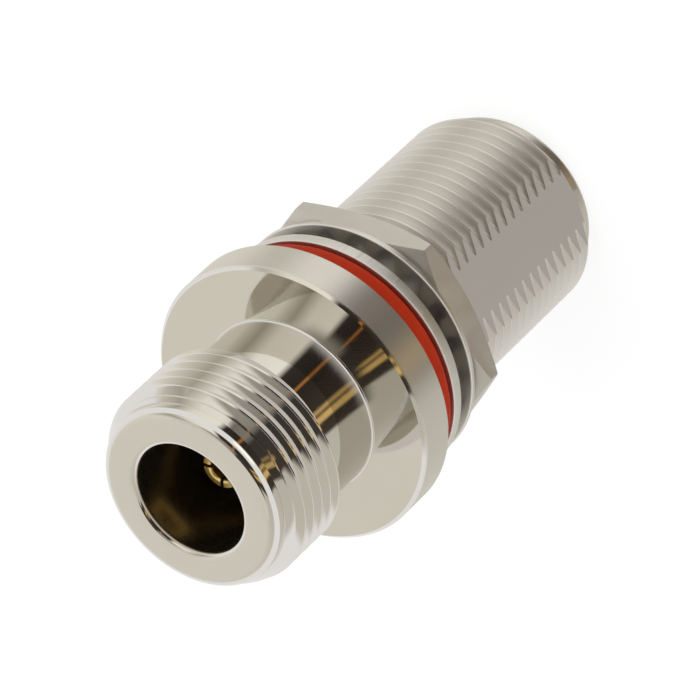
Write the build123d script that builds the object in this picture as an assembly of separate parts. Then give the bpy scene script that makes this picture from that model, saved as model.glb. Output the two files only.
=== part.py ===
from build123d import *
import math
import os

# Bulkhead adapter with a threaded coaxial socket at each end, in millimetres.
# It stands on its rear end: Z = 0 is the rear face, +Z points out of the front socket,
# and +X points out of the barrel's anti-rotation flat.

# Lengths along the turned body, from the rear face up
BARREL_LENGTH = 26.25
FLANGE_THICKNESS = 3.05
NECK_LENGTH = 5.65
FRONT_THREAD_LENGTH = 5.1

# The two ends share one form: thread, lead-in cone, plain collar, rounded rim, face
LEAD_IN_LENGTH = 0.92
COLLAR_LENGTH = 1.23
COLLAR_STEP = 0.8675
RIM_ROUND = 0.75
MOUTH_ROUND = 0.53

# The thread is 5/8 inch, 24 to the inch; steps are measured inwards from it
THREAD_RADIUS = 15.875 / 2
NECK_STEP = 1.2275
FLAT_DEPTH = 0.8725
NECK_FILLET = 0.2
FLANGE_OVERHANG = 1.0225
FLANGE_CHAMFER = 0.28

# Coaxial bores
SOCKET_RADIUS = 4.27
SOCKET_DEPTH = 9.1
LINE_STEP = 0.77

# Centre contact, in two halves joined inside the insulator
CONTACT_RADIUS = 1.52
CONTACT_SETBACK = 4.1
CONTACT_HOLE_RADIUS = 0.83
CONTACT_HOLE_DEPTH = 6.0
CONTACT_RIM_CHAMFER = 0.18
CONTACT_WAIST_RADIUS = 1.05
STUD_RADIUS = 0.5
STUD_LENGTH = 2.0
SLOT_WIDTH = 0.26
SLOT_LENGTH = 4.6
SLOT_ANGLE = 65.0
SLOT_COUNT = 4

# Insulator that carries the contact, held by a bushing pressed in from the rear
INSULATOR_LENGTH = 5.0
BUSHING_CHAMFER = 0.3

# Sealing ring under the flange
SEAL_THICKNESS = 2.5
SEAL_WIDTH = 1.86
SEAL_EDGE_ROUND = 0.8
SEAL_EDGE_SHARE = 0.45

# Lock washer with twisted inner teeth
LOCK_THICKNESS = 0.95
LOCK_SETBACK = 0.05
LOCK_EDGE_CHAMFER = 0.08
TOOTH_COUNT = 20
TOOTH_REACH = 0.8625
TOOTH_DROP = 1.6
TOOTH_ROOT_WIDTH = 1.75
TOOTH_TIP_WIDTH = 1.25
TOOTH_THICKNESS = 0.62
TOOTH_TWIST = 24.0
TOOTH_ROOT_OVERLAP = 0.3

# Thin flat washer under the nut
WASHER_THICKNESS = 0.47
WASHER_SETBACK = 0.19
WASHER_EDGE_CHAMFER = 0.1

# Hexagon nut
NUT_WALL = 1.1875
NUT_HEIGHT = 2.6
NUT_CORNER_ANGLE = 33.3
NUT_CHAMFER_INSET = 0.125
NUT_CHAMFER_SLOPE = 30.0
NUT_ENVELOPE_MARGIN = 0.3
NUT_BORE_CHAMFER = 0.35

# Clearances
NUT_RUNNING_CLEARANCE = 0.05
WASHER_RADIAL_CLEARANCE = 0.15
STACK_CLEARANCE = 0.02
SEATING_CLEARANCE = 0.01

# Radii that the sizes above fix
LINE_RADIUS = SOCKET_RADIUS - LINE_STEP
COLLAR_RADIUS = THREAD_RADIUS - COLLAR_STEP
NECK_RADIUS = THREAD_RADIUS - NECK_STEP
FLAT_DISTANCE = THREAD_RADIUS - FLAT_DEPTH
LOOSE_BORE_RADIUS = THREAD_RADIUS + WASHER_RADIAL_CLEARANCE
SEAL_OUTER_RADIUS = LOOSE_BORE_RADIUS + SEAL_WIDTH
FLANGE_RADIUS = SEAL_OUTER_RADIUS + FLANGE_OVERHANG
LOCK_OUTER_RADIUS = SEAL_OUTER_RADIUS - LOCK_SETBACK
LOCK_WEB_RADIUS = LOOSE_BORE_RADIUS + TOOTH_REACH
WASHER_OUTER_RADIUS = SEAL_OUTER_RADIUS - WASHER_SETBACK
NUT_FLAT_RADIUS = THREAD_RADIUS + NUT_WALL
NUT_CHAMFER_RADIUS = NUT_FLAT_RADIUS - NUT_CHAMFER_INSET

# Stations along the axis that the sizes above fix
FLANGE_REAR = BARREL_LENGTH
FLANGE_FRONT = FLANGE_REAR + FLANGE_THICKNESS
NECK_FRONT = FLANGE_FRONT + NECK_LENGTH
FRONT_THREAD_END = NECK_FRONT + FRONT_THREAD_LENGTH
FRONT_FACE = FRONT_THREAD_END + LEAD_IN_LENGTH + COLLAR_LENGTH
REAR_THREAD_START = COLLAR_LENGTH + LEAD_IN_LENGTH
FRONT_SHOULDER = FRONT_FACE - SOCKET_DEPTH
REAR_SHOULDER = SOCKET_DEPTH
MIDDLE = (FRONT_SHOULDER + REAR_SHOULDER) / 2
INSULATOR_FRONT = MIDDLE + INSULATOR_LENGTH / 2
INSULATOR_REAR = MIDDLE - INSULATOR_LENGTH / 2
SEAL_REAR = FLANGE_REAR - SEAL_THICKNESS
LOCK_FRONT = SEAL_REAR - STACK_CLEARANCE
LOCK_REAR = LOCK_FRONT - LOCK_THICKNESS
WASHER_FRONT = LOCK_REAR - TOOTH_DROP
WASHER_REAR = WASHER_FRONT - WASHER_THICKNESS
NUT_FRONT = WASHER_REAR - STACK_CLEARANCE
NUT_REAR = NUT_FRONT - NUT_HEIGHT


def half_section(points, rounds=(), chamfers=()):
    """Closed half section in the XZ plane from (radius, height) points, with softened corners."""
    section = make_face(Polyline(*[(r, 0, z) for r, z in points], close=True))
    for (r, z), size in rounds:
        section = fillet(section.vertices().sort_by_distance((r, 0, z))[0], size)
    for (r, z), size in chamfers:
        section = chamfer(section.vertices().sort_by_distance((r, 0, z))[0], size)
    return section


def turned(points, rounds=(), chamfers=()):
    """Solid of revolution about Z from a half section."""
    return revolve(half_section(points, rounds, chamfers), Axis.Z)


def body():
    """Turned body: both sockets, threads at major diameter, neck, flange and D-shaped barrel."""
    outline = [
        (SOCKET_RADIUS, 0),
        (COLLAR_RADIUS, 0),
        (COLLAR_RADIUS, COLLAR_LENGTH),
        (THREAD_RADIUS, REAR_THREAD_START),
        (THREAD_RADIUS, FLANGE_REAR),
        (FLANGE_RADIUS, FLANGE_REAR),
        (FLANGE_RADIUS, FLANGE_FRONT),
        (NECK_RADIUS, FLANGE_FRONT),
        (NECK_RADIUS, NECK_FRONT),
        (THREAD_RADIUS, NECK_FRONT),
        (THREAD_RADIUS, FRONT_THREAD_END),
        (COLLAR_RADIUS, FRONT_FACE - COLLAR_LENGTH),
        (COLLAR_RADIUS, FRONT_FACE),
        (SOCKET_RADIUS, FRONT_FACE),
        (SOCKET_RADIUS, FRONT_SHOULDER),
        (LINE_RADIUS, FRONT_SHOULDER),
        (LINE_RADIUS, INSULATOR_FRONT),
        (SOCKET_RADIUS, INSULATOR_FRONT),
    ]
    rounds = [
        ((COLLAR_RADIUS, 0), RIM_ROUND),
        ((SOCKET_RADIUS, 0), MOUTH_ROUND),
        ((COLLAR_RADIUS, FRONT_FACE), RIM_ROUND),
        ((SOCKET_RADIUS, FRONT_FACE), MOUTH_ROUND),
        ((NECK_RADIUS, FLANGE_FRONT), NECK_FILLET),
    ]
    chamfers = [((FLANGE_RADIUS, FLANGE_FRONT), FLANGE_CHAMFER)]
    milled = Pos(FLAT_DISTANCE, 0, 0) * Box(
        2 * FLAT_DEPTH, 2 * THREAD_RADIUS, FLANGE_REAR, align=(Align.MIN, Align.CENTER, Align.MIN)
    )
    return turned(outline, rounds, chamfers) - milled


def contact_half(join_points):
    """Slotted socket half of the centre contact, mouth up at Z = 0, ending in its joint."""
    shoulder = -(FRONT_FACE - CONTACT_SETBACK - INSULATOR_FRONT)
    joint = shoulder - INSULATOR_LENGTH / 2
    outline = [
        (CONTACT_HOLE_RADIUS, 0),
        (CONTACT_RADIUS, 0),
        (CONTACT_RADIUS, shoulder),
        (CONTACT_WAIST_RADIUS, shoulder),
        (CONTACT_WAIST_RADIUS, joint),
        *join_points(joint),
        (0, -CONTACT_HOLE_DEPTH),
        (CONTACT_HOLE_RADIUS, -CONTACT_HOLE_DEPTH),
    ]
    chamfers = [((CONTACT_RADIUS, 0), CONTACT_RIM_CHAMFER), ((CONTACT_HOLE_RADIUS, 0), CONTACT_RIM_CHAMFER)]
    slot = Box(CONTACT_RADIUS, SLOT_WIDTH, SLOT_LENGTH, align=(Align.MIN, Align.CENTER, Align.MAX))
    slots = [Rot(Z=SLOT_ANGLE + 360 / SLOT_COUNT * i) * slot for i in range(SLOT_COUNT)]
    half = turned(outline, chamfers=chamfers)
    for cut in slots:
        half -= cut
    return half


def front_contact():
    """Front contact half, with the stud that joins it to the rear half."""

    def stud(joint):
        return [(STUD_RADIUS, joint), (STUD_RADIUS, joint - STUD_LENGTH), (0, joint - STUD_LENGTH)]

    return Pos(0, 0, FRONT_FACE - CONTACT_SETBACK) * contact_half(stud)


def rear_contact():
    """Rear contact half, turned over, with the blind hole that takes the stud."""

    def hole(joint):
        radius = STUD_RADIUS + SEATING_CLEARANCE
        bottom = joint + STUD_LENGTH + SEATING_CLEARANCE
        return [(radius, joint), (radius, bottom), (0, bottom)]

    return Pos(0, 0, CONTACT_SETBACK) * Rot(X=180) * contact_half(hole)


def insulator():
    """Bead that centres the contact in the body, between its shoulder and the bushing."""
    outer = SOCKET_RADIUS - SEATING_CLEARANCE
    inner = CONTACT_WAIST_RADIUS + SEATING_CLEARANCE
    return turned(
        [(inner, INSULATOR_REAR), (outer, INSULATOR_REAR), (outer, INSULATOR_FRONT), (inner, INSULATOR_FRONT)]
    )


def retaining_bushing():
    """Bushing in the rear bore: it holds the insulator and forms the rear socket's shoulder."""
    outer = SOCKET_RADIUS - SEATING_CLEARANCE
    return turned(
        [
            (LINE_RADIUS, REAR_SHOULDER),
            (outer, REAR_SHOULDER),
            (outer, INSULATOR_REAR),
            (LINE_RADIUS, INSULATOR_REAR),
        ],
        chamfers=[((outer, INSULATOR_REAR), BUSHING_CHAMFER)],
    )


def seal_ring():
    """Soft ring under the flange, with a rounded outer edge."""
    edge = min(SEAL_EDGE_ROUND, SEAL_EDGE_SHARE * min(SEAL_WIDTH, SEAL_THICKNESS))
    return turned(
        [
            (LOOSE_BORE_RADIUS, SEAL_REAR),
            (SEAL_OUTER_RADIUS, SEAL_REAR),
            (SEAL_OUTER_RADIUS, FLANGE_REAR),
            (LOOSE_BORE_RADIUS, FLANGE_REAR),
        ],
        rounds=[((SEAL_OUTER_RADIUS, SEAL_REAR), edge), ((SEAL_OUTER_RADIUS, FLANGE_REAR), edge)],
    )


def tooth():
    """One tooth on the +X side: it leaves the web flat, drops towards the nut and twists."""
    root_height = (LOCK_FRONT + LOCK_REAR) / 2
    tip_half_height = TOOTH_TIP_WIDTH / 2 * math.sin(math.radians(TOOTH_TWIST))
    tip_half_height += TOOTH_THICKNESS / 2 * math.cos(math.radians(TOOTH_TWIST))
    tip_height = WASHER_FRONT + STACK_CLEARANCE + tip_half_height
    root_radius = LOCK_WEB_RADIUS + TOOTH_ROOT_OVERLAP
    root_plane = Plane((root_radius, 0, root_height), x_dir=(0, 1, 0), z_dir=(-1, 0, 0))
    tip_plane = Plane((LOOSE_BORE_RADIUS, 0, tip_height), x_dir=(0, 1, 0), z_dir=(-1, 0, 0))
    root = root_plane * Rectangle(TOOTH_ROOT_WIDTH, TOOTH_THICKNESS)
    tip = tip_plane * Rectangle(TOOTH_TIP_WIDTH, TOOTH_THICKNESS, rotation=TOOTH_TWIST)
    return loft([root, tip], ruled=True)


def lock_washer():
    """Lock washer: a flat web with a ring of twisted teeth inside it."""
    washer = turned(
        [
            (LOCK_WEB_RADIUS, LOCK_REAR),
            (LOCK_OUTER_RADIUS, LOCK_REAR),
            (LOCK_OUTER_RADIUS, LOCK_FRONT),
            (LOCK_WEB_RADIUS, LOCK_FRONT),
        ],
        chamfers=[
            ((LOCK_OUTER_RADIUS, LOCK_REAR), LOCK_EDGE_CHAMFER),
            ((LOCK_OUTER_RADIUS, LOCK_FRONT), LOCK_EDGE_CHAMFER),
        ],
    )
    one_tooth = tooth()
    for i in range(TOOTH_COUNT):
        washer += Rot(Z=360 / TOOTH_COUNT * i) * one_tooth
    return washer


def flat_washer():
    """Thin flat washer between the lock washer's teeth and the nut."""
    return turned(
        [
            (LOOSE_BORE_RADIUS, WASHER_REAR),
            (WASHER_OUTER_RADIUS, WASHER_REAR),
            (WASHER_OUTER_RADIUS, WASHER_FRONT),
            (LOOSE_BORE_RADIUS, WASHER_FRONT),
        ],
        chamfers=[
            ((WASHER_OUTER_RADIUS, WASHER_REAR), WASHER_EDGE_CHAMFER),
            ((WASHER_OUTER_RADIUS, WASHER_FRONT), WASHER_EDGE_CHAMFER),
        ],
    )


def hex_nut():
    """Hexagon nut, chamfered on both faces, its bore opened to run over the thread."""
    blank = extrude(Pos(0, 0, NUT_REAR) * RegularPolygon(NUT_FLAT_RADIUS, 6, major_radius=False), NUT_HEIGHT)
    blank = Rot(Z=NUT_CORNER_ANGLE) * blank
    corner = NUT_FLAT_RADIUS / math.cos(math.radians(30)) + NUT_ENVELOPE_MARGIN
    fall = (corner - NUT_CHAMFER_RADIUS) * math.tan(math.radians(NUT_CHAMFER_SLOPE))
    envelope = turned(
        [
            (0, NUT_REAR),
            (NUT_CHAMFER_RADIUS, NUT_REAR),
            (corner, NUT_REAR + fall),
            (corner, NUT_FRONT - fall),
            (NUT_CHAMFER_RADIUS, NUT_FRONT),
            (0, NUT_FRONT),
        ]
    )
    bore_radius = THREAD_RADIUS + NUT_RUNNING_CLEARANCE
    bore = turned(
        [
            (0, NUT_REAR),
            (bore_radius + NUT_BORE_CHAMFER, NUT_REAR),
            (bore_radius, NUT_REAR + NUT_BORE_CHAMFER),
            (bore_radius, NUT_FRONT - NUT_BORE_CHAMFER),
            (bore_radius + NUT_BORE_CHAMFER, NUT_FRONT),
            (0, NUT_FRONT),
        ]
    )
    return (blank & envelope) - bore


PIECES = {
    "body": body,
    "front_contact": front_contact,
    "rear_contact": rear_contact,
    "insulator": insulator,
    "retaining_bushing": retaining_bushing,
    "seal_ring": seal_ring,
    "lock_washer": lock_washer,
    "flat_washer": flat_washer,
    "hex_nut": hex_nut,
}

os.makedirs("parts", exist_ok=True)
for name, make in PIECES.items():
    export_step(make(), f"parts/{name}.step")
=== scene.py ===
"""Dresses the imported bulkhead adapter: helical threads, turned and stamped metal, rubber seal and studio."""
import logging
import math
from collections.abc import Iterable, Sequence
from dataclasses import dataclass, field
from enum import Enum

import bmesh
import bpy
from mathutils import Matrix, Vector


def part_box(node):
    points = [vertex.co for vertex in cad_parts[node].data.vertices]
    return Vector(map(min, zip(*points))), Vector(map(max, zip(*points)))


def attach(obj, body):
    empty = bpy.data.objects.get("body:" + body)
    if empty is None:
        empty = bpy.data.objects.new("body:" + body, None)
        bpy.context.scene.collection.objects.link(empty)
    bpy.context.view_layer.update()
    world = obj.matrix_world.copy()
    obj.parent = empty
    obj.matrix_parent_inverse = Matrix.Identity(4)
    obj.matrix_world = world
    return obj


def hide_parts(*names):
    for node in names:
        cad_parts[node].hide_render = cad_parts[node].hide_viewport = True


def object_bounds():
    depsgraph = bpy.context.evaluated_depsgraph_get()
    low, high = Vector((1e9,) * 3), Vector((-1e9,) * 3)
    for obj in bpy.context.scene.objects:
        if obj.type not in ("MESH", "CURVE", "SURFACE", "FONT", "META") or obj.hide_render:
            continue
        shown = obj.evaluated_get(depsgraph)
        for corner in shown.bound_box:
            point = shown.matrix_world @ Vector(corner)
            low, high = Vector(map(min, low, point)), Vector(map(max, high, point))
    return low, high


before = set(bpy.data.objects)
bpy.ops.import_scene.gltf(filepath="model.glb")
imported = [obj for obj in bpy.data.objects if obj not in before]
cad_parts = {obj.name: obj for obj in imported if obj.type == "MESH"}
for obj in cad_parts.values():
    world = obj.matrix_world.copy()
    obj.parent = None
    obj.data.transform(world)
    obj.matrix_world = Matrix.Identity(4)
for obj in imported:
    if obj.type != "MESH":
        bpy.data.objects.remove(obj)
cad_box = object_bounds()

log = logging.getLogger("adapter")

MM = 0.001
Point = tuple[float, float]
Colour = tuple[float, float, float]

CAMERA_AZIMUTH = 25.68
PITCH = 25.4 / 24
THREAD_RADIUS = 15.875 / 2


class Socket:
    """A shader socket that can stand in Python expressions."""

    def __init__(self, graph: "Graph", socket: bpy.types.NodeSocket) -> None:
        """Wraps one output socket of a node graph."""
        self.graph = graph
        self.socket = socket

    def _math(self, operation: str, *values: "Socket | float") -> "Socket":
        """Adds one Math node on the given values."""
        return self.graph.node("ShaderNodeMath", {"operation": operation}, dict(enumerate(values)))

    def __add__(self, other: "Socket | float") -> "Socket":
        """Sum with a socket or number."""
        return self._math("ADD", self, other)

    def __sub__(self, other: "Socket | float") -> "Socket":
        """Difference with a socket or number."""
        return self._math("SUBTRACT", self, other)

    def __rsub__(self, other: float) -> "Socket":
        """Number less this socket."""
        return self._math("SUBTRACT", other, self)

    def __mul__(self, other: "Socket | float") -> "Socket":
        """Product with a socket or number."""
        return self._math("MULTIPLY", self, other)

    def __truediv__(self, other: "Socket | float") -> "Socket":
        """Quotient by a socket or number."""
        return self._math("DIVIDE", self, other)

    def __pow__(self, other: float) -> "Socket":
        """Power of this socket."""
        return self._math("POWER", self, other)

    __radd__ = __add__
    __rmul__ = __mul__

    def absolute(self) -> "Socket":
        """Value without its sign."""
        return self._math("ABSOLUTE", self)

    def ramp(self, low: float, high: float) -> "Socket":
        """Smooth step from 0 at low to 1 at high.

        Args:
            low: value that gives 0.
            high: value that gives 1.

        Returns:
            The step as a socket.
        """
        return self.graph.node(
            "ShaderNodeMapRange",
            {"interpolation_type": "SMOOTHSTEP"},
            {"Value": self, "From Min": low, "From Max": high},
        )


class Graph:
    """One node tree, written to through a single method."""

    def __init__(self, tree: bpy.types.NodeTree) -> None:
        """Starts an empty graph on a tree."""
        tree.nodes.clear()
        self.tree = tree

    def node(
        self,
        kind: str,
        settings: dict[str, object] | None = None,
        inputs: dict[str | int, object] | None = None,
        output: str | int = 0,
    ) -> Socket:
        """Adds a node.

        Args:
            kind: the node's type.
            settings: its own settings; "stops" is a colour ramp's list of (position, colour).
            inputs: a value or Socket for each input, by name or number.
            output: the output that is handed back.

        Returns:
            The wanted output as a Socket.
        """
        made = self.tree.nodes.new(kind)
        for name, value in (settings or {}).items():
            if name == "stops":
                self._set_stops(made.color_ramp, value)
            else:
                setattr(made, name, value)
        for name, value in (inputs or {}).items():
            if isinstance(value, Socket):
                self.tree.links.new(value.socket, made.inputs[name])
            else:
                made.inputs[name].default_value = value
        return Socket(self, made.outputs[output]) if made.outputs else None

    @staticmethod
    def _set_stops(ramp: bpy.types.ColorRamp, stops: Sequence[tuple[float, Colour]]) -> None:
        """Fills a colour ramp from (position, colour) pairs."""
        while len(ramp.elements) < len(stops):
            ramp.elements.new(1.0)
        for element, (position, colour) in zip(ramp.elements, stops):
            element.position = position
            element.color = (*colour, 1.0)

    def mix(self, factor: Socket | float, low: object, high: object) -> Socket:
        """Mixes two colours, given as sockets or (r, g, b), by a factor."""
        def rgba(colour: object) -> object:
            return colour if isinstance(colour, Socket) else (*colour, 1.0)

        return self.node(
            "ShaderNodeMix", {"data_type": "RGBA"}, {0: factor, 6: rgba(low), 7: rgba(high)}, output=2
        )

    def noise(self, where: Socket, scale: float, detail: float = 2.0, roughness: float = 0.5) -> Socket:
        """Three-dimensional noise at a place, from 0 to 1."""
        inputs = {"Vector": where, "Scale": scale, "Detail": detail, "Roughness": roughness}
        return self.node("ShaderNodeTexNoise", {}, inputs)

    def line_noise(self, where: Socket, scale: float, detail: float = 2.0) -> Socket:
        """One-dimensional noise along a value, from 0 to 1."""
        inputs = {"W": where, "Scale": scale, "Detail": detail}
        return self.node("ShaderNodeTexNoise", {"noise_dimensions": "1D"}, inputs)

    def stretched(self, where: Socket, scale: Sequence[float], turn: Sequence[float] = (0, 0, 0)) -> Socket:
        """Place scaled by axis after a turn in degrees, for streaks."""
        angles = tuple(math.radians(angle) for angle in turn)
        inputs = {"Vector": where, "Rotation": angles, "Scale": tuple(scale)}
        return self.node("ShaderNodeMapping", {}, inputs)

    def bump(self, height: Socket) -> Socket:
        """Normal that follows a height in millimetres."""
        return self.node("ShaderNodeBump", {}, {"Strength": 1.0, "Distance": MM, "Height": height})


@dataclass(frozen=True)
class Metal:
    """A plated metal with lathe lines, handling marks and a slow drift of its tint."""

    name: str
    colour: Colour
    shade: Colour
    roughness: float
    drift: float = 0.03
    line_depth: float = 0.0
    line_scale: float = 9000.0
    line_spread: float = 0.83
    scratch_depth: float = 0.0
    pit_depth: float = 0.0

    def material(self) -> bpy.types.Material:
        """Builds the finish as a material."""
        made = bpy.data.materials.new(self.name)
        made.use_nodes = True
        graph = Graph(made.node_tree)
        place = graph.node("ShaderNodeTexCoord", output="Object")
        cloud = graph.noise(place, 260.0, detail=3.0)
        smear = graph.noise(graph.stretched(place, (1, 1, 0.3), (20, 35, 10)), 900.0, detail=4.0)
        rough = self.roughness + (cloud - 0.5) * self.drift + (smear - 0.5) * self.drift
        rough = self._worn_roughness(graph, place, rough)
        inputs = {
            "Base Color": self._tint(graph, place, graph.mix(cloud, self.shade, self.colour)),
            "Metallic": 1.0,
            "Roughness": rough,
        }
        height = self._height(graph, place)
        if height is not None:
            inputs["Normal"] = graph.bump(height)
        surface = graph.node("ShaderNodeBsdfPrincipled", {}, inputs)
        graph.node("ShaderNodeOutputMaterial", {}, {"Surface": surface})
        return made

    def _tint(self, graph: Graph, place: Socket, colour: Socket) -> Socket:
        """Colour with a tint of its own per zone; plain metal has one zone."""
        return colour

    def _worn_roughness(self, graph: Graph, place: Socket, rough: Socket) -> Socket:
        """Roughness with a finish of its own per zone; plain metal has one zone."""
        return rough

    @staticmethod
    def _radius(graph: Graph, place: Socket) -> Socket:
        """Distance from the turned axis, in metres."""
        x, y = (graph.node("ShaderNodeSeparateXYZ", {}, {0: place}, output=axis) for axis in "XY")
        return (x ** 2.0 + y ** 2.0) ** 0.5

    def _height(self, graph: Graph, place: Socket) -> Socket | None:
        """Height of lathe lines, scratches and pits in millimetres, or None on a bare mirror."""
        parts = []
        if self.line_depth:
            parts.append(self._lathe_lines(graph, place) * self.line_depth)
        if self.scratch_depth:
            parts.append(self._scratches(graph, place) * self.scratch_depth)
        if self.pit_depth:
            pits = graph.noise(place, 2600.0, detail=1.0).ramp(0.60, 0.72)
            parts.append(pits * -self.pit_depth)
        return sum(parts[1:], parts[0]) if parts else None

    def _lathe_lines(self, graph: Graph, place: Socket) -> Socket:
        """Rings round the turned axis, on cylinders and faces alike."""
        height = graph.node("ShaderNodeSeparateXYZ", {}, {0: place}, output="Z")
        along = height + self._radius(graph, place) * self.line_spread
        return graph.line_noise(along, self.line_scale, detail=3.0)

    @staticmethod
    def _scratches(graph: Graph, place: Socket) -> Socket:
        """Thin dents in two directions, where stretched noise peaks."""
        marks = []
        for turn in ((12, 38, 71), (64, -25, 20)):
            streak = graph.noise(graph.stretched(place, (1.0, 14.0, 9.0), turn), 300.0, detail=1.0)
            marks.append((streak - 0.5).absolute().ramp(0.006, 0.0))
        gate = graph.noise(place, 500.0, detail=1.0).ramp(0.5, 0.62)
        return (marks[0] + marks[1]) * gate * -1.0


@dataclass(frozen=True)
class BodyNickel(Metal):
    """Nickel of the turned body: polished neck, satin rim, barrel and end face, dull bore with painted shade.
    """

    satin_roughness: float = 0.35
    flat_colour: Colour = (0.72, 0.715, 0.72)
    flat_roughness: float = 0.42
    flat_distance: float = 7.065
    face_roughness: float = 0.3
    bore_roughness: float = 0.24
    # painted shade: colour of the sockets' inner walls, darker and browner than the body's nickel
    bore_painted_shade: Colour = (0.40, 0.35, 0.26)
    bore_radius: float = 4.3
    face_height: float = 42.2
    rim_radius: float = 10.6
    flange_rear: float = 26.25
    flange_front: float = 29.3

    def _satin_zone(self, graph: Graph, place: Socket) -> Socket:
        """1 on the flange's rim and below the flange, 0 on the polished front."""
        height = graph.node("ShaderNodeSeparateXYZ", {}, {0: place}, output="Z")
        below = height.ramp(self.flange_rear * MM, (self.flange_rear - 0.1) * MM)
        rim = self._radius(graph, place).ramp(self.rim_radius * MM, (self.rim_radius + 0.2) * MM)
        under_face = height.ramp((self.flange_front - 0.1) * MM, (self.flange_front - 0.3) * MM)
        both = below + rim * under_face
        return graph.node("ShaderNodeClamp", {}, {"Value": both})

    def _bore_zone(self, graph: Graph, place: Socket) -> Socket:
        """1 on the sockets' inner walls, 0 outside them."""
        return self._radius(graph, place).ramp((self.bore_radius + 0.15) * MM, self.bore_radius * MM)

    def _flat_zone(self, graph: Graph, place: Socket) -> Socket:
        """1 on the milled flat, 0 off it."""
        x, z = (graph.node("ShaderNodeSeparateXYZ", {}, {0: place}, output=axis) for axis in "XZ")
        beyond = x.ramp((self.flat_distance + 0.01) * MM, (self.flat_distance + 0.002) * MM)
        short_of = x.ramp((self.flat_distance - 0.01) * MM, (self.flat_distance - 0.002) * MM)
        return beyond * short_of * z.ramp(self.flange_rear * MM, (self.flange_rear - 0.1) * MM)

    def _face_zone(self, graph: Graph, place: Socket) -> Socket:
        """1 on the front end face, 0 on what curves away from it."""
        height = graph.node("ShaderNodeSeparateXYZ", {}, {0: place}, output="Z")
        return height.ramp((self.face_height - 0.012) * MM, (self.face_height - 0.002) * MM)

    def _tint(self, graph: Graph, place: Socket, colour: Socket) -> Socket:
        """Painted shade darkens and browns the sockets' inner walls, and the milled flat is paler."""
        milled = graph.mix(self._flat_zone(graph, place), colour, self.flat_colour)
        # painted shade: the sockets' inner walls are darkened where the recess lies in shade
        return graph.mix(self._bore_zone(graph, place), milled, self.bore_painted_shade)

    def _worn_roughness(self, graph: Graph, place: Socket, rough: Socket) -> Socket:
        """Adds each zone's extra roughness."""
        satin = self._satin_zone(graph, place) * (self.satin_roughness - self.roughness)
        face = self._face_zone(graph, place) * (self.face_roughness - self.roughness)
        bore = self._bore_zone(graph, place) * (self.bore_roughness - self.roughness)
        flat = self._flat_zone(graph, place) * (self.flat_roughness - self.satin_roughness)
        return rough + satin + face + bore + flat

    def _lathe_lines(self, graph: Graph, place: Socket) -> Socket:
        """Lathe lines, deeper in the satin zone."""
        return Metal._lathe_lines(self, graph, place) * (0.15 + self._satin_zone(graph, place) * 0.85)


@dataclass(frozen=True)
class ShearedNickel(Metal):
    """Stamped nickel: sheared marks across its outer edge, dull teeth inside with painted shade."""

    tooth_radius: float = 9.0
    # painted shade: near-black colour given to the teeth in place of the shade of the gap
    teeth_painted_shade: Colour = (0.13, 0.115, 0.085)
    shear_depth: float = 0.03
    shear_scale: float = 90.0

    def _tint(self, graph: Graph, place: Socket, colour: Socket) -> Socket:
        """Painted shade: the teeth, which sit in the shaded gap before the nut, are darkened."""
        # painted shade: everything inside the web's inner edge is darkened
        inside = self._radius(graph, place).ramp((self.tooth_radius + 0.1) * MM, self.tooth_radius * MM)
        return graph.mix(inside, colour, self.teeth_painted_shade)

    def _height(self, graph: Graph, place: Socket) -> Socket:
        """Adds the sheared marks, which run along the axis."""
        x, y = (graph.node("ShaderNodeSeparateXYZ", {}, {0: place}, output=axis) for axis in "XY")
        azimuth = graph.node("ShaderNodeMath", {"operation": "ARCTAN2"}, {0: y, 1: x})
        marks = graph.line_noise(azimuth, self.shear_scale, detail=3.0) * self.shear_depth
        plain = Metal._height(self, graph, place)
        return marks if plain is None else marks + plain


@dataclass(frozen=True)
class Rubber:
    """Coloured silicone rubber with a soft sheen, dust and a faint mottle."""

    name: str
    colour: Colour
    shade: Colour
    roughness: float
    grain_depth: float
    specular: float = 0.5

    def material(self) -> bpy.types.Material:
        """Builds the finish as a material."""
        made = bpy.data.materials.new(self.name)
        made.use_nodes = True
        graph = Graph(made.node_tree)
        place = graph.node("ShaderNodeTexCoord", output="Object")
        mottle = graph.noise(place, 700.0, detail=4.0)
        grain = graph.noise(place, 6500.0, detail=2.0)
        surface = graph.node(
            "ShaderNodeBsdfPrincipled",
            {},
            {
                "Base Color": graph.mix(mottle, self.shade, self.colour),
                "Roughness": self.roughness + (mottle - 0.5) * 0.12,
                "Specular IOR Level": self.specular,
                "Normal": graph.bump(grain * self.grain_depth),
            },
        )
        graph.node("ShaderNodeOutputMaterial", {}, {"Surface": surface})
        return made


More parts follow.
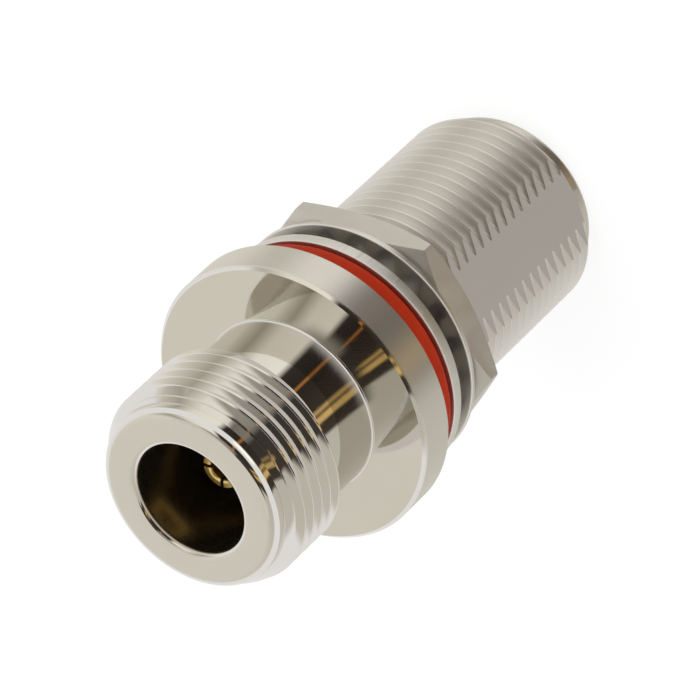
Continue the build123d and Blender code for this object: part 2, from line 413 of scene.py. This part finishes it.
class Finish(Enum):
    """The finishes of the adapter's pieces."""

    BODY = BodyNickel(
        "nickel_body", (0.70, 0.675, 0.63), (0.66, 0.635, 0.59), roughness=0.05, drift=0.015,
        line_depth=0.0009, scratch_depth=0.0002,
    )
    STAMPED = Metal(
        "nickel_stamped", (0.74, 0.72, 0.68), (0.66, 0.64, 0.60), roughness=0.36, drift=0.1,
        scratch_depth=0.002, pit_depth=0.002,
    )
    SHEARED = ShearedNickel(
        "nickel_sheared", (0.74, 0.73, 0.70), (0.66, 0.65, 0.62), roughness=0.36, drift=0.1,
        scratch_depth=0.002, pit_depth=0.002,
    )
    NUT = Metal(
        "nickel_nut", (0.66, 0.635, 0.595), (0.58, 0.555, 0.515), roughness=0.42, drift=0.12,
        scratch_depth=0.008, pit_depth=0.005,
    )
    GOLD = Metal(
        "gold_contact", (1.0, 0.78, 0.34), (0.92, 0.68, 0.27), roughness=0.24, drift=0.05,
        line_depth=0.0006,
    )
    SEAL = Rubber(
        "silicone_seal", (0.40, 0.026, 0.003), (0.25, 0.012, 0.001), roughness=0.5, grain_depth=0.004,
        specular=0.05,
    )
    BEAD = Rubber("white_insulator", (0.86, 0.85, 0.81), (0.80, 0.79, 0.75), roughness=0.5, grain_depth=0.002)

    def material(self) -> bpy.types.Material:
        """The finish's material, made once."""
        return bpy.data.materials.get(self.value.name) or self.value.material()


def arc(centre: Point, radius: float, start: float, end: float, steps: int = 6) -> list[Point]:
    """Points on an arc of the half section.

    Args:
        centre: the arc's centre as (radius, height).
        radius: the arc's own radius.
        start: first angle in degrees, 0 pointing outwards and 90 up.
        end: last angle in degrees.
        steps: number of spans.

    Returns:
        The points, both ends among them.
    """
    angles = [math.radians(start + (end - start) * i / steps) for i in range(steps + 1)]
    return [(centre[0] + radius * math.cos(a), centre[1] + radius * math.sin(a)) for a in angles]


def turned(points: Sequence[Point], segments: int = 192) -> bmesh.types.BMesh:
    """Spins a closed half section round the axis.

    Args:
        points: the section's corners as (radius, height); a radius of 0 lies on the axis.
        segments: faces round the full turn.

    Returns:
        A closed bmesh in millimetres, normals outwards.

    Raises:
        ValueError: the section crosses itself, so that the solid is inside out.
    """
    bm = bmesh.new()
    verts = [bm.verts.new((r, 0, z)) for r, z in points]
    edges = [bm.edges.new((a, b)) for a, b in zip(verts, verts[1:] + verts[:1]) if a.co.x or b.co.x]
    bmesh.ops.spin(
        bm, geom=verts + edges, cent=(0, 0, 0), axis=(0, 0, 1), angle=math.tau, steps=segments, use_merge=True
    )
    bmesh.ops.remove_doubles(bm, verts=bm.verts, dist=1e-5)
    bmesh.ops.recalc_face_normals(bm, faces=bm.faces)
    if bm.calc_volume(signed=True) <= 0:
        raise ValueError(f"section crosses itself: {points}")
    return bm


def to_object(name: str, bm: bmesh.types.BMesh) -> bpy.types.Object:
    """Puts a bmesh in the scene as an object and frees it."""
    mesh = bpy.data.meshes.new(name)
    bm.to_mesh(mesh)
    bm.free()
    made = bpy.data.objects.new(name, mesh)
    bpy.context.scene.collection.objects.link(made)
    return made


def combine(piece: bpy.types.Object, tool_mesh: bmesh.types.BMesh, operation: str) -> None:
    """Joins, cuts or intersects a piece with another solid, and keeps the result as its mesh.

    Args:
        piece: the object that changes.
        tool_mesh: the other solid, used up by this.
        operation: UNION, DIFFERENCE or INTERSECT.
    """
    tool = to_object("tool", tool_mesh)
    modifier = piece.modifiers.new("combine", "BOOLEAN")
    modifier.operation = operation
    modifier.solver = "EXACT"
    modifier.object = tool
    result = bpy.data.meshes.new_from_object(piece.evaluated_get(bpy.context.evaluated_depsgraph_get()))
    piece.modifiers.clear()
    old, tool_data = piece.data, tool.data
    piece.data = result
    bpy.data.objects.remove(tool)
    bpy.data.meshes.remove(old)
    bpy.data.meshes.remove(tool_data)


@dataclass
class Thread:
    """Right-hand 60 degree thread as a helical surface.

    crest_height is the height of one crest at azimuth 0, and grow moves the whole surface outwards.
    """

    crest_height: float
    grow: float = 0.0
    depth: float = 0.6
    crest_width: float = 0.15
    crest_round: float = 0.035
    steps_per_turn: int = 96

    def one_pitch(self) -> list[Point]:
        """Section of one thread, from the middle of a crest to the middle of the next."""
        top = THREAD_RADIUS + self.grow
        root = top - self.depth
        half_crest = self.crest_width / 2
        flank = self.depth * math.tan(math.radians(30))
        corner = self.crest_round
        side = [
            (top, half_crest - corner * 0.6),
            (top - corner * 0.35, half_crest + corner * 0.05),
            (top - corner, half_crest + corner * math.tan(math.radians(30))),
            (root + corner, half_crest + (self.depth - corner) * math.tan(math.radians(30))),
            (root, half_crest + flank + corner * 0.6),
        ]
        return [(top, 0.0), *side, *[(r, PITCH - z) for r, z in reversed(side)], (top, PITCH)]

    def surface(self, low: float, high: float) -> tuple[bmesh.types.BMesh, list[list[bmesh.types.BMEdge]]]:
        """Helical surface cut level at both ends.

        Args:
            low: height of the lower end.
            high: height of the upper end.

        Returns:
            The open bmesh, and its lower and upper rim edges.
        """
        turns = math.ceil((high - low) / PITCH) + 3
        start = self.crest_height + PITCH * math.floor((low - self.crest_height) / PITCH - 1.5)
        bm = bmesh.new()
        verts = [bm.verts.new((r, 0, start + z)) for r, z in self.one_pitch()]
        edges = [bm.edges.new(pair) for pair in zip(verts, verts[1:])]
        bmesh.ops.spin(
            bm, geom=verts + edges, cent=(0, 0, 0), axis=(0, 0, 1), angle=math.tau * turns,
            steps=self.steps_per_turn * turns, dvec=(0, 0, PITCH / self.steps_per_turn),
        )
        bmesh.ops.remove_doubles(bm, verts=bm.verts, dist=1e-4)
        rims = []
        for height, upwards in ((low, False), (high, True)):
            geometry = bm.verts[:] + bm.edges[:] + bm.faces[:]
            cut = bmesh.ops.bisect_plane(
                bm, geom=geometry, plane_co=(0, 0, height), plane_no=(0, 0, 1), dist=1e-5,
                clear_outer=upwards, clear_inner=not upwards,
            )
            rims.append([e for e in cut["geom_cut"] if isinstance(e, bmesh.types.BMEdge)])
        return bm, rims

    def rod(self, low: float, high: float) -> bmesh.types.BMesh:
        """Solid threaded rod between two heights."""
        bm, rims = self.surface(low, high)
        for rim in rims:
            bmesh.ops.contextual_create(bm, geom=rim)
        bmesh.ops.recalc_face_normals(bm, faces=bm.faces)
        return bm

    def sleeve(self, low: float, high: float, swell: float = 1.3) -> bmesh.types.BMesh:
        """Solid sleeve that fits round the thread: cutting it away leaves the thread.

        Args:
            low: height of the lower end.
            high: height of the upper end.
            swell: outer size over the thread's.

        Returns:
            The closed bmesh.
        """
        bm, rims = self.surface(low, high)
        outer = []
        for rim in rims:
            grown = bmesh.ops.extrude_edge_only(bm, edges=rim)["geom"]
            verts = [v for v in grown if isinstance(v, bmesh.types.BMVert)]
            bmesh.ops.scale(bm, vec=(swell, swell, 1), verts=verts)
            outer += [e for e in grown if isinstance(e, bmesh.types.BMEdge)
                      and all(v in set(verts) for v in e.verts)]
        bmesh.ops.bridge_loops(bm, edges=outer)
        bmesh.ops.recalc_face_normals(bm, faces=bm.faces)
        return bm


@dataclass
class Piece:
    """One physical piece: its mesh in millimetres, its finish, and the node that it stands for."""

    node: str
    body: str
    slot: str
    finish: Finish
    sharp_angle: float = 32.0

    def build(self) -> bpy.types.Object:
        """Makes the piece's mesh as an object in millimetres."""
        raise NotImplementedError

    def sharpen(self, mesh: bpy.types.Mesh) -> None:
        """Marks sharp what the angle alone doesn't find, on a mesh in metres; most pieces have none."""

    def dress(self) -> bpy.types.Object:
        """Builds, scales, shades and seats the piece.

        Returns:
            The finished object, in metres.
        """
        made = self.build()
        mesh = made.data
        mesh.transform(Matrix.Scale(MM, 4))
        mesh.shade_smooth()
        mesh.set_sharp_from_angle(angle=math.radians(self.sharp_angle))
        self.sharpen(mesh)
        mesh.materials.clear()
        mesh.materials.append(self.finish.material())
        made.name = f"{self.node}_shown"
        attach(made, self.body)
        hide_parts(self.node)
        log.info("%s: %d faces", made.name, len(mesh.polygons))
        return made


def node_span(node: str) -> tuple[float, float]:
    """Lowest and highest height of a CAD node, in millimetres."""
    low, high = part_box(node)
    return low[2] / MM, high[2] / MM


def node_radius(node: str) -> float:
    """Largest reach of a CAD node along X, in millimetres."""
    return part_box(node)[1][0] / MM


@dataclass
class TurnedBody(Piece):
    """The one turned piece: both sockets, both threads, neck, flange and flattened barrel."""

    node: str = "body"
    body: str = "connector"
    slot: str = "nickel_bright"
    finish: Finish = Finish.BODY
    sharp_angle: float = 24.0
    neck_radius: float = 6.71
    neck_length: float = 5.65
    neck_fillet: float = 0.2
    flange_thickness: float = 3.05
    flange_chamfer: float = 0.28
    collar_radius: float = 7.07
    collar_length: float = 1.23
    lead_in_length: float = 0.92
    lead_in_bulge: float = 0.05
    rim_round: float = 0.75
    mouth_round: float = 0.53
    socket_radius: float = 4.27
    socket_depth: float = 9.1
    line_radius: float = 3.5
    flat_distance: float = 7.065
    front_crest: float = 39.813
    rear_crest: float = 15.97
    cut_allowance: float = 0.012
    on_flat: float = 0.002
    facing_flat: float = 0.9999

    def end(self, face: float, way: int) -> list[Point]:
        """Outline of one end, from the thread over the face down to the socket's shoulder.

        Args:
            face: height of the end face.
            way: 1 for the front end, -1 for the rear end.

        Returns:
            The outline's points.
        """
        thread = THREAD_RADIUS + self.cut_allowance
        start = self.collar_length + self.lead_in_length
        middle = self.collar_length + self.lead_in_length / 2
        outer = self.collar_radius - self.rim_round
        inner = self.socket_radius + self.mouth_round
        by_depth = [
            (thread, start),
            ((thread + self.collar_radius) / 2 + self.lead_in_bulge, middle - self.lead_in_bulge),
            (self.collar_radius, self.collar_length),
            *[(r, -z) for r, z in arc((outer, -self.rim_round), self.rim_round, 0, 90, 10)],
            *[(r, -z) for r, z in arc((inner, -self.mouth_round), self.mouth_round, 90, 180, 10)],
            (self.socket_radius, self.socket_depth),
        ]
        return [(r, face - way * depth) for r, depth in by_depth]

    def outline(self) -> list[Point]:
        """Closed half section of the body."""
        flange_rear = node_span("seal_ring")[1]
        front_face = node_span("body")[1]
        flange_radius = node_radius("body")
        flange_front = flange_rear + self.flange_thickness
        neck_front = flange_front + self.neck_length
        insulator_front = node_span("insulator")[1]
        thread = THREAD_RADIUS + self.cut_allowance
        fillet_centre = (self.neck_radius + self.neck_fillet, flange_front + self.neck_fillet)
        rear = self.end(0.0, -1)
        return [
            *reversed(rear),
            (thread, flange_rear),
            (flange_radius - 0.05, flange_rear),
            (flange_radius, flange_rear + 0.05),
            (flange_radius, flange_front - self.flange_chamfer),
            (flange_radius - self.flange_chamfer, flange_front),
            *arc(fillet_centre, self.neck_fillet, 270, 180, 5),
            (self.neck_radius, neck_front),
            (thread, neck_front),
            *self.end(front_face, 1),
            (self.line_radius, front_face - self.socket_depth),
            (self.line_radius, insulator_front),
            (self.socket_radius, insulator_front),
        ]

    def sharpen(self, mesh: bpy.types.Mesh) -> None:
        """Marks the flat's outline sharp: it meets roots and collar at too small an angle to be found."""
        bm = bmesh.new()
        bm.from_mesh(mesh)
        for face in bm.faces:
            offset = abs(face.calc_center_median().x / MM - self.flat_distance)
            if face.normal.x > self.facing_flat and offset < self.on_flat:
                for edge in face.edges:
                    edge.smooth = False
        bm.to_mesh(mesh)
        bm.free()

    def flat_cutter(self) -> bmesh.types.BMesh:
        """Block that mills the flat along the whole barrel."""
        height = node_span("seal_ring")[1]
        bm = bmesh.new()
        bmesh.ops.create_cube(bm, size=1.0)
        bmesh.ops.scale(bm, vec=(2.0, 18.0, height + 1.0), verts=bm.verts)
        bmesh.ops.translate(bm, vec=(self.flat_distance + 1.0, 0, (height - 1.02) / 2), verts=bm.verts)
        return bm

    def build(self) -> bpy.types.Object:
        """Spins the body, cuts both threads and mills the flat."""
        made = to_object(self.node, turned(self.outline()))
        front_face = node_span("body")[1]
        flange_rear = node_span("seal_ring")[1]
        neck_front = flange_rear + self.flange_thickness + self.neck_length
        cone_end = front_face - self.collar_length
        combine(made, Thread(self.front_crest).sleeve(neck_front - 0.4, cone_end + 0.3), "DIFFERENCE")
        combine(made, Thread(self.rear_crest).sleeve(-0.5, node_span("seal_ring")[0] + 0.8), "DIFFERENCE")
        combine(made, self.flat_cutter(), "DIFFERENCE")
        return made


@dataclass
class HexNut(Piece):
    """Hexagon nut with chamfered faces, rounded corners and its own thread.

    first_corner is the azimuth of a corner of the bar as it is made, before it is turned to corner_angle.
    """

    node: str = "hex_nut"
    body: str = "nut"
    slot: str = "nickel_satin"
    finish: Finish = Finish.NUT
    across_flats: float = 18.25
    corner_angle: float = 33.3
    corner_round: float = 0.1
    chamfer_radius: float = 9.0
    chamfer_slope: float = 30.0
    bore_chamfer: float = 0.35
    cone_depth: float = 1.0
    envelope_margin: float = 0.3
    thread_clearance: float = 0.05
    crest_height: float = 15.97
    first_corner: float = 30.0
    overrun: float = 0.3

    def blank(self) -> bmesh.types.BMesh:
        """Hexagon bar of the nut's height, with softened corners."""
        low, high = node_span(self.node)
        radius = self.across_flats / math.sqrt(3)
        bm = bmesh.new()
        bmesh.ops.create_cone(bm, cap_ends=True, segments=6, radius1=radius, radius2=radius, depth=high - low)
        upright = [e for e in bm.edges if abs(e.verts[0].co.z - e.verts[1].co.z) > 0.1]
        bmesh.ops.bevel(
            bm, geom=upright, offset=self.corner_round, segments=4, profile=0.5, affect="EDGES", material=-1
        )
        turn = math.radians(self.corner_angle - self.first_corner)
        bmesh.ops.rotate(bm, cent=(0, 0, 0), matrix=Matrix.Rotation(turn, 3, "Z"), verts=bm.verts)
        bmesh.ops.translate(bm, vec=(0, 0, (low + high) / 2), verts=bm.verts)
        return bm

    def envelope(self) -> bmesh.types.BMesh:
        """Turned shape that chamfers both faces towards the corners."""
        low, high = node_span(self.node)
        reach = self.across_flats / math.sqrt(3) + self.envelope_margin
        fall = (reach - self.chamfer_radius) * math.tan(math.radians(self.chamfer_slope))
        return turned(
            [
                (0, low), (self.chamfer_radius, low), (reach, low + fall),
                (reach, high - fall), (self.chamfer_radius, high), (0, high),
            ]
        )

    def countersinks(self) -> bmesh.types.BMesh:
        """Two cones that open the bore at both faces."""
        low, high = node_span(self.node)
        wide = THREAD_RADIUS + self.bore_chamfer
        depth = min(self.cone_depth, (high - low) * 0.45)
        narrow = wide - depth
        return turned(
            [
                (0, low - 0.1), (wide + 0.1, low - 0.1), (narrow, low + depth),
                (narrow, high - depth), (wide + 0.1, high + 0.1), (0, high + 0.1),
            ]
        )

    def build(self) -> bpy.types.Object:
        """Cuts the bar to shape and threads it."""
        low, high = node_span(self.node)
        made = to_object(self.node, self.blank())
        combine(made, self.envelope(), "INTERSECT")
        combine(made, self.countersinks(), "DIFFERENCE")
        thread = Thread(self.crest_height, grow=self.thread_clearance)
        combine(made, thread.rod(low - self.overrun, high + self.overrun), "DIFFERENCE")
        return made


@dataclass
class FlatWasher(Piece):
    """Thin stamped washer, rolled over at its edges."""

    node: str = "flat_washer"
    body: str = "washers"
    slot: str = "nickel_satin"
    finish: Finish = Finish.STAMPED
    inner_radius: float = 8.0875
    edge_round: float = 0.1

    def build(self) -> bpy.types.Object:
        """Spins the washer."""
        low, high = node_span(self.node)
        outer = node_radius(self.node)
        edge = self.edge_round
        section = [
            (self.inner_radius, low + edge),
            (self.inner_radius + edge, low),
            *arc((outer - edge, low + edge), edge, 270, 360, 4),
            *arc((outer - edge, high - edge), edge, 0, 90, 4),
            (self.inner_radius + edge, high),
            (self.inner_radius, high - edge),
        ]
        return to_object(self.node, turned(section))


@dataclass
class LockWasher(Piece):
    """Lock washer: a flat web and a ring of teeth bent and twisted towards the nut."""

    node: str = "lock_washer"
    body: str = "washers"
    slot: str = "nickel_satin"
    finish: Finish = Finish.SHEARED
    web_radius: float = 8.95
    web_thickness: float = 0.95
    edge_round: float = 0.08
    teeth: int = 20
    root_width: float = 1.75
    tip_width: float = 1.25
    tooth_thickness: float = 0.62
    twist: float = 24.0
    tip_radius: float = 8.0875
    root_overlap: float = 0.3
    bends: int = 5

    def web(self) -> bmesh.types.BMesh:
        """Flat ring with softened outer edges."""
        high = node_span(self.node)[1]
        low = high - self.web_thickness
        outer = node_radius(self.node)
        edge = self.edge_round
        return turned(
            [
                (self.web_radius, low),
                *arc((outer - edge, low + edge), edge, 270, 360, 4),
                *arc((outer - edge, high - edge), edge, 0, 90, 4),
                (self.web_radius, high),
            ]
        )

    def tooth(self, angle: float) -> bmesh.types.BMesh:
        """One tooth, extruded inwards from the web in short bends.

        Args:
            angle: the tooth's azimuth in degrees.

        Returns:
            A closed bmesh.
        """
        low, high = node_span(self.node)
        root_height = high - self.web_thickness / 2
        turn = math.radians(self.twist)
        half_tip = self.tip_width / 2 * math.sin(turn) + self.tooth_thickness / 2 * math.cos(turn)
        drop = root_height - (low + half_tip)
        length = self.web_radius + self.root_overlap - self.tip_radius
        bm = bmesh.new()
        bmesh.ops.create_grid(bm, x_segments=1, y_segments=1, size=0.5)
        stand = Matrix.Rotation(math.radians(90), 3, "Y")
        bmesh.ops.rotate(bm, cent=(0, 0, 0), matrix=stand, verts=bm.verts)
        bmesh.ops.scale(bm, vec=(1, self.root_width, self.tooth_thickness), verts=bm.verts)
        bmesh.ops.translate(bm, vec=(self.tip_radius + length, 0, root_height), verts=bm.verts)
        bm.faces.ensure_lookup_table()
        face = bm.faces[0]
        narrowing = (self.tip_width / self.root_width) ** (1 / self.bends)
        for i in range(self.bends):
            grown = bmesh.ops.extrude_face_region(bm, geom=[face])["geom"]
            if i:
                bmesh.ops.delete(bm, geom=[face], context="FACES_ONLY")
            face = next(g for g in grown if isinstance(g, bmesh.types.BMFace))
            share = (i + 1) / self.bends
            fall = drop * (share ** 1.25 - (i / self.bends) ** 1.25)
            bmesh.ops.translate(bm, vec=(-length / self.bends, 0, -fall), verts=face.verts)
            middle = face.calc_center_median()
            spin = Matrix.Rotation(turn / self.bends, 3, "X")
            bmesh.ops.rotate(bm, cent=middle, matrix=spin, verts=face.verts)
            for vert in face.verts:
                vert.co = middle + (vert.co - middle) * narrowing
        seat = Matrix.Rotation(math.radians(angle), 3, "Z")
        bmesh.ops.rotate(bm, cent=(0, 0, 0), matrix=seat, verts=bm.verts)
        bmesh.ops.recalc_face_normals(bm, faces=bm.faces)
        return bm

    def build(self) -> bpy.types.Object:
        """Joins every tooth to the web."""
        made = to_object(self.node, self.web())
        every = bmesh.new()
        for i in range(self.teeth):
            one = self.tooth(360 / self.teeth * i)
            spare = bpy.data.meshes.new("tooth")
            one.to_mesh(spare)
            one.free()
            every.from_mesh(spare)
            bpy.data.meshes.remove(spare)
        combine(made, every, "UNION")
        return made


@dataclass
class SealRing(Piece):
    """Moulded rubber ring with a rounded outer edge."""

    node: str = "seal_ring"
    body: str = "connector"
    slot: str = "seal_rubber"
    finish: Finish = Finish.SEAL
    inner_radius: float = 8.0875
    edge_round: float = 0.8

    def build(self) -> bpy.types.Object:
        """Spins the ring."""
        low, high = node_span(self.node)
        outer = node_radius(self.node)
        edge = self.edge_round
        section = [
            (self.inner_radius, low),
            *arc((outer - edge, low + edge), edge, 270, 360, 8),
            *arc((outer - edge, high - edge), edge, 0, 90, 8),
            (self.inner_radius, high),
        ]
        return to_object(self.node, turned(section))


@dataclass
class ContactHalf(Piece):
    """Slotted gold socket of the centre contact, facing up in front or down behind."""

    body: str = "connector"
    slot: str = "gold_plate"
    finish: Finish = Finish.GOLD
    faces_up: bool = True
    radius: float = 1.52
    hole_radius: float = 0.83
    hole_depth: float = 6.0
    rim_round: float = 0.18
    slot_width: float = 0.26
    slot_length: float = 4.6
    slot_angle: float = 65.0
    slots: int = 4

    def build(self) -> bpy.types.Object:
        """Spins the socket and saws its slots."""
        low, high = node_span(self.node)
        bead_low, bead_high = node_span("insulator")
        tip, way = (high, 1) if self.faces_up else (low, -1)
        foot = bead_high if self.faces_up else bead_low
        rim = self.rim_round
        outer = arc((self.radius - rim, -rim), rim, 0, 90, 5)
        inner = arc((self.hole_radius + rim, -rim), rim, 90, 180, 5)
        depth_of_foot = abs(tip - foot)
        by_depth = [
            (0, -depth_of_foot),
            (self.radius, -depth_of_foot),
            *outer,
            *inner,
            (self.hole_radius, -self.hole_depth),
            (0, -self.hole_depth),
        ]
        section = [(r, tip + way * z) for r, z in by_depth]
        made = to_object(self.node, turned(section, 96))
        for i in range(self.slots):
            saw = bmesh.new()
            bmesh.ops.create_cube(saw, size=1.0)
            bmesh.ops.scale(saw, vec=(2.4, self.slot_width, self.slot_length + 1.0), verts=saw.verts)
            centre = (1.2, 0, tip - way * (self.slot_length - 1.0) / 2)
            bmesh.ops.translate(saw, vec=centre, verts=saw.verts)
            turn = Matrix.Rotation(math.radians(self.slot_angle + 360 / self.slots * i), 3, "Z")
            bmesh.ops.rotate(saw, cent=(0, 0, 0), matrix=turn, verts=saw.verts)
            combine(made, saw, "DIFFERENCE")
        return made


@dataclass
class HiddenPieces:
    """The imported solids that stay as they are, with a finish of their own."""

    finishes: dict[str, Finish] = field(
        default_factory=lambda: {"insulator": Finish.BEAD, "retaining_bushing": Finish.BODY}
    )

    def dress(self) -> None:
        """Gives each kept solid its material."""
        for node, finish in self.finishes.items():
            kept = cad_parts[node]
            for material_slot in kept.material_slots:
                material_slot.material = finish.material()
            log.info("%s kept, finished as %s", node, finish.value.name)


@dataclass
class Studio:
    """Camera of the photograph, pale floor, lamps and the surroundings that the metal mirrors.

    The bands are heights of a mirrored direction, -1 straight down and 1 straight up: wall_band is where the
    ring of colours at the horizon gives way to the pale walls, and sky_band where those give way to the sky.
    """

    place: tuple[float, float, float] = (0.278086, 0.133699, 0.308459)
    forward: tuple[float, float, float] = (-0.660070, -0.317529, -0.680796)
    up: tuple[float, float, float] = (0.104854, 0.858457, -0.502053)
    focal_pixels: float = 6010.33
    frame_pixels: int = 700
    sensor_mm: float = 36.0
    floor_size: float = 6.0
    fill: float = 0.85
    pale: Colour = (0.98, 0.98, 1.0)
    strength: float = 1.06
    floor_glow: float = 0.85
    wall_band: tuple[float, float] = (0.38, 0.50)
    sky_band: tuple[float, float] = (0.80, 0.87)
    key_left: tuple[float, float] = (-22, -12)
    key_right: tuple[float, float] = (14, 8)
    key_drop: float = 0.12
    key_reach: tuple[float, float] = (0.22, 0.1)
    key_colour: Colour = (1.6, 1.55, 1.4)

    def camera(self) -> None:
        """Sets the camera where the photograph was taken from."""
        data = bpy.data.cameras.new("camera")
        data.sensor_width = self.sensor_mm
        data.lens = self.focal_pixels / self.frame_pixels * self.sensor_mm
        data.clip_start = 0.01
        forward, up = Vector(self.forward), Vector(self.up)
        right = forward.cross(up)
        turn = Matrix((right, up, -forward)).transposed()
        made = bpy.data.objects.new("camera", data)
        made.matrix_world = Matrix.Translation(self.place) @ turn.to_4x4()
        bpy.context.scene.collection.objects.link(made)
        bpy.context.scene.camera = made

    def floor(self) -> None:
        """Plain pale floor: white to the camera, with the object's soft shadow."""
        bm = bmesh.new()
        bmesh.ops.create_grid(bm, x_segments=1, y_segments=1, size=self.floor_size / 2)
        made = to_object("floor", bm)
        material = bpy.data.materials.new("floor")
        material.use_nodes = True
        graph = Graph(material.node_tree)
        paper = graph.node("ShaderNodeBsdfDiffuse", {}, {"Color": (0.9, 0.9, 0.9, 1)})
        white = graph.node("ShaderNodeEmission", {}, {"Color": (1, 1, 1, 1), "Strength": 1.0})
        seen = graph.node("ShaderNodeLightPath", output="Is Camera Ray")
        both = graph.node("ShaderNodeMixShader", {}, {0: seen * self.floor_glow, 1: paper, 2: white})
        graph.node("ShaderNodeOutputMaterial", {}, {"Surface": both})
        made.data.materials.append(material)
        made.visible_glossy = False

    def lamp(
        self, name: str, azimuth: float, elevation: float, distance: float, size: float, power: float
    ) -> None:
        """Adds a soft square lamp that looks at the part.

        Args:
            name: the lamp's name.
            azimuth: degrees from the camera's azimuth, counter-clockwise from above.
            elevation: degrees above the floor.
            distance: metres from the part.
            size: the lamp's side in metres.
            power: its power in watts.
        """
        data = bpy.data.lights.new(name, "AREA")
        data.size = size
        data.energy = power
        a, e = math.radians(azimuth + CAMERA_AZIMUTH), math.radians(elevation)
        out = Vector((math.cos(a) * math.cos(e), math.sin(a) * math.cos(e), math.sin(e)))
        made = bpy.data.objects.new(name, data)
        made.location = out * distance + Vector((0, 0, cad_box[1][2] / 2))
        made.rotation_mode = "QUATERNION"
        made.rotation_quaternion = out.to_track_quat("Z", "Y")
        made.visible_glossy = False
        bpy.context.scene.collection.objects.link(made)

    def surroundings(self) -> None:
        """World: even light for plain surfaces, and a studio of pale walls and dark gaps for gloss."""
        world = bpy.data.worlds.new("studio")
        bpy.context.scene.world = world
        world.use_nodes = True
        graph = Graph(world.node_tree)
        way = graph.node("ShaderNodeTexCoord", output="Generated")
        turned_way = graph.node(
            "ShaderNodeVectorRotate",
            {"rotation_type": "Z_AXIS"},
            {"Vector": way, "Angle": math.radians(-CAMERA_AZIMUTH)},
        )
        x, y, z = (graph.node("ShaderNodeSeparateXYZ", {}, {0: turned_way}, output=axis) for axis in "XYZ")
        azimuth = graph.node("ShaderNodeMath", {"operation": "ARCTAN2"}, {0: y, 1: x}) * math.degrees(1)
        share = azimuth / 360.0 + 0.5
        ring = graph.node("ShaderNodeValToRGB", {"stops": self.ring_stops()}, {"Fac": share})
        sky = graph.node("ShaderNodeValToRGB", {"stops": self.sky_stops()}, {"Fac": share})
        walls = graph.mix(z.absolute().ramp(*self.wall_band), self.pale, ring)
        overhead = graph.mix(z.ramp(*self.sky_band), walls, sky)
        gloss = self.with_key_light(graph, azimuth, z, overhead)
        path = graph.node("ShaderNodeLightPath", output="Is Glossy Ray")
        seen = graph.node("ShaderNodeLightPath", output="Is Camera Ray")
        plain = graph.mix(path, (self.fill, self.fill, self.fill), gloss)
        colour = graph.mix(seen, plain, (1.0, 1.0, 1.0))
        surface = graph.node("ShaderNodeBackground", {}, {"Color": colour, "Strength": self.strength})
        graph.node("ShaderNodeOutputWorld", {}, {"Surface": surface})

    @staticmethod
    def ring_stops() -> list[tuple[float, Colour]]:
        """Colours round the horizon by azimuth from the camera, in degrees."""
        stops = [
            (-180, (0.80, 0.78, 0.70)),
            (-110, (0.66, 0.64, 0.58)),
            (-58, (0.62, 0.60, 0.53)),
            (-54, (0.06, 0.05, 0.04)),
            (-42, (0.05, 0.04, 0.03)),
            (-39, (0.75, 0.52, 0.20)),
            (-35, (0.70, 0.48, 0.18)),
            (-32, (0.10, 0.07, 0.04)),
            (-28, (0.62, 0.42, 0.16)),
            (-24, (0.05, 0.04, 0.03)),
            (6, (0.03, 0.025, 0.02)),
            (8, (0.55, 0.22, 0.05)),
            (11, (0.03, 0.025, 0.02)),
            (30, (0.04, 0.035, 0.03)),
            (38, (1.05, 1.02, 0.94)),
            (70, (0.95, 0.93, 0.86)),
            (92, (0.46, 0.44, 0.36)),
            (120, (0.88, 0.86, 0.78)),
            (180, (0.80, 0.78, 0.70)),
        ]
        return [((azimuth + 180) / 360, colour) for azimuth, colour in stops]

    @staticmethod
    def sky_stops() -> list[tuple[float, Colour]]:
        """Colours high overhead by azimuth from the camera, which flanks and rounded lips mirror."""
        stops = [
            (-180, (0.82, 0.80, 0.74)),
            (-84, (0.78, 0.76, 0.70)),
            (-76, (0.06, 0.05, 0.04)),
            (-2, (0.05, 0.045, 0.04)),
            (10, (0.30, 0.28, 0.24)),
            (60, (0.42, 0.40, 0.36)),
            (80, (0.72, 0.70, 0.64)),
            (180, (0.82, 0.80, 0.74)),
        ]
        return [((azimuth + 180) / 360, colour) for azimuth, colour in stops]

    def with_key_light(self, graph: Graph, azimuth: Socket, height: Socket, around: Socket) -> Socket:
        """Adds the broad lamp on the camera's side, centred just below the horizon."""
        inside = azimuth.ramp(*self.key_left) * azimuth.ramp(*self.key_right)
        level = (height + self.key_drop).absolute().ramp(*self.key_reach)
        return graph.mix(inside * level, around, self.key_colour)

    def build(self) -> None:
        """Sets the whole studio up."""
        bpy.context.scene.view_settings.view_transform = "Standard"
        self.camera()
        self.floor()
        self.surroundings()
        self.lamp("top_soft", 60, 65, 0.6, 0.5, 2.2)
        self.lamp("side_soft", -100, 35, 0.6, 0.4, 1.0)
        log.info("studio ready")


def main() -> None:
    """Builds and dresses every piece, then the studio."""
    logging.basicConfig(level=logging.INFO, format="%(asctime)s %(name)s: %(message)s")
    Studio().build()
    pieces: Iterable[Piece] = (
        TurnedBody(),
        SealRing(),
        LockWasher(),
        FlatWasher(),
        HexNut(),
        ContactHalf("front_contact"),
        ContactHalf("rear_contact", faces_up=False),
    )
    for piece in pieces:
        piece.dress()
    HiddenPieces().dress()
    log.info("boxes written")


if __name__ == "__main__":
    main()
